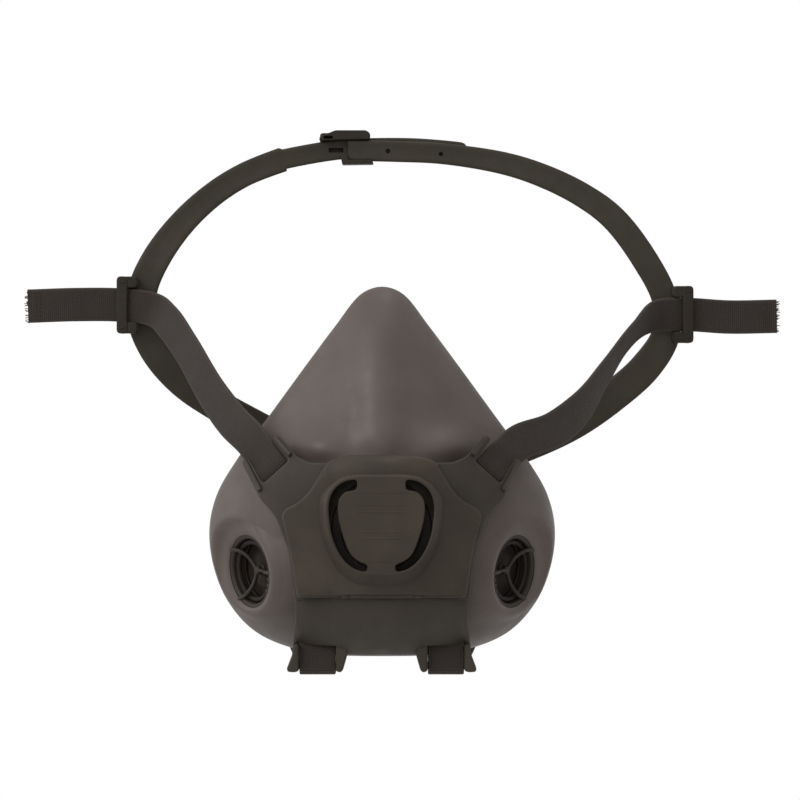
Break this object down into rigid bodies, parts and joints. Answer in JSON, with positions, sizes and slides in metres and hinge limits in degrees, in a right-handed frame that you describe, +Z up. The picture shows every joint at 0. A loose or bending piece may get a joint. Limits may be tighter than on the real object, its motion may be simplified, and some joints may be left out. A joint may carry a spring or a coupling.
{
  "type": "half-face respirator",
  "caption": "Soft half-face mask with a rigid yoke, a drop-down latch cover over its exhalation valve, bayonet cartridge ports, webbing straps and a moulded head cradle.",
  "frame": {"origin": "middle of the face seal, on the mask's centre plane", "axes": "+Z up, -Y out of the front of the mask, +X towards the wearer's left"},
  "size_m": [0.2836, 0.1608, 0.2],
  "materials": {
    "silicone": "satin moulded silicone, mid brown grey",
    "yoke_plastic": "fine matt moulded plastic, dark olive brown",
    "cover_plastic": "satin moulded plastic, dark olive brown",
    "port_plastic": "matt moulded plastic, dark brown",
    "cradle_plastic": "matt flexible plastic",
    "buckle_plastic": "matt moulded plastic, near black",
    "webbing": "knitted elastic webbing",
    "valve_rubber": "thin matt rubber",
    "gasket_rubber": "matt rubber",
    "pin_steel": "plain drawn wire"
  },
  "bodies": {
    "mask": {"facepiece": "silicone", "yoke": "yoke_plastic", "latch_hinge_pin": "pin_steel", "exhalation_valve_seat": "port_plastic", "cartridge_port_left": "port_plastic", "cartridge_port_right": "port_plastic", "port_gasket_left": "gasket_rubber", "port_gasket_right": "gasket_rubber", "strap_run_left": "webbing", "strap_run_right": "webbing"},
    "latch": {"latch_cover": "cover_plastic"},
    "exhalation_flap": {"exhalation_valve": "valve_rubber"},
    "inhalation_flap_left": {"inhalation_valve_left": "valve_rubber"},
    "inhalation_flap_right": {"inhalation_valve_right": "valve_rubber"},
    "head_harness": {"upper_strap_left": "webbing", "upper_strap_right": "webbing", "side_buckle_left": "buckle_plastic", "side_buckle_right": "buckle_plastic", "head_cradle": "cradle_plastic", "crown_buckle": "buckle_plastic"},
    "neck_harness": {"neck_strap_left": "webbing", "neck_strap_right": "webbing", "neck_clip_tongue": "buckle_plastic", "neck_clip_socket": "buckle_plastic"}
  },
  "joints": [
    {"name": "latch_hinge", "type": "hinge", "parent": "mask", "child": "latch", "pos_m": [0, -0.0726, -0.031], "axis": [1, 0, 0], "range_deg": [0, 65]},
    {"name": "exhalation_lift", "type": "slide", "parent": "mask", "child": "exhalation_flap", "axis": [0, -1, 0], "range_m": [0, 0.0015], "stiffness_N_per_m": 20},
    {"name": "inhalation_lift_left", "type": "slide", "parent": "mask", "child": "inhalation_flap_left", "axis": [-0.8151, 0.5707, 0.0995], "range_m": [0, 0.0015], "stiffness_N_per_m": 20},
    {"name": "inhalation_lift_right", "type": "slide", "parent": "mask", "child": "inhalation_flap_right", "axis": [0.8151, 0.5707, 0.0995], "range_m": [0, 0.0015], "stiffness_N_per_m": 20},
    {"name": "harness_swing", "type": "hinge", "parent": "mask", "child": "head_harness", "pos_m": [0, -0.058, 0.0116], "axis": [1, 0, 0], "range_deg": [0, 120]},
    {"name": "neck_strap_swing", "type": "hinge", "parent": "mask", "child": "neck_harness", "pos_m": [0, -0.053, -0.0566], "axis": [1, 0, 0], "range_deg": [-70, 0]}
  ]
}
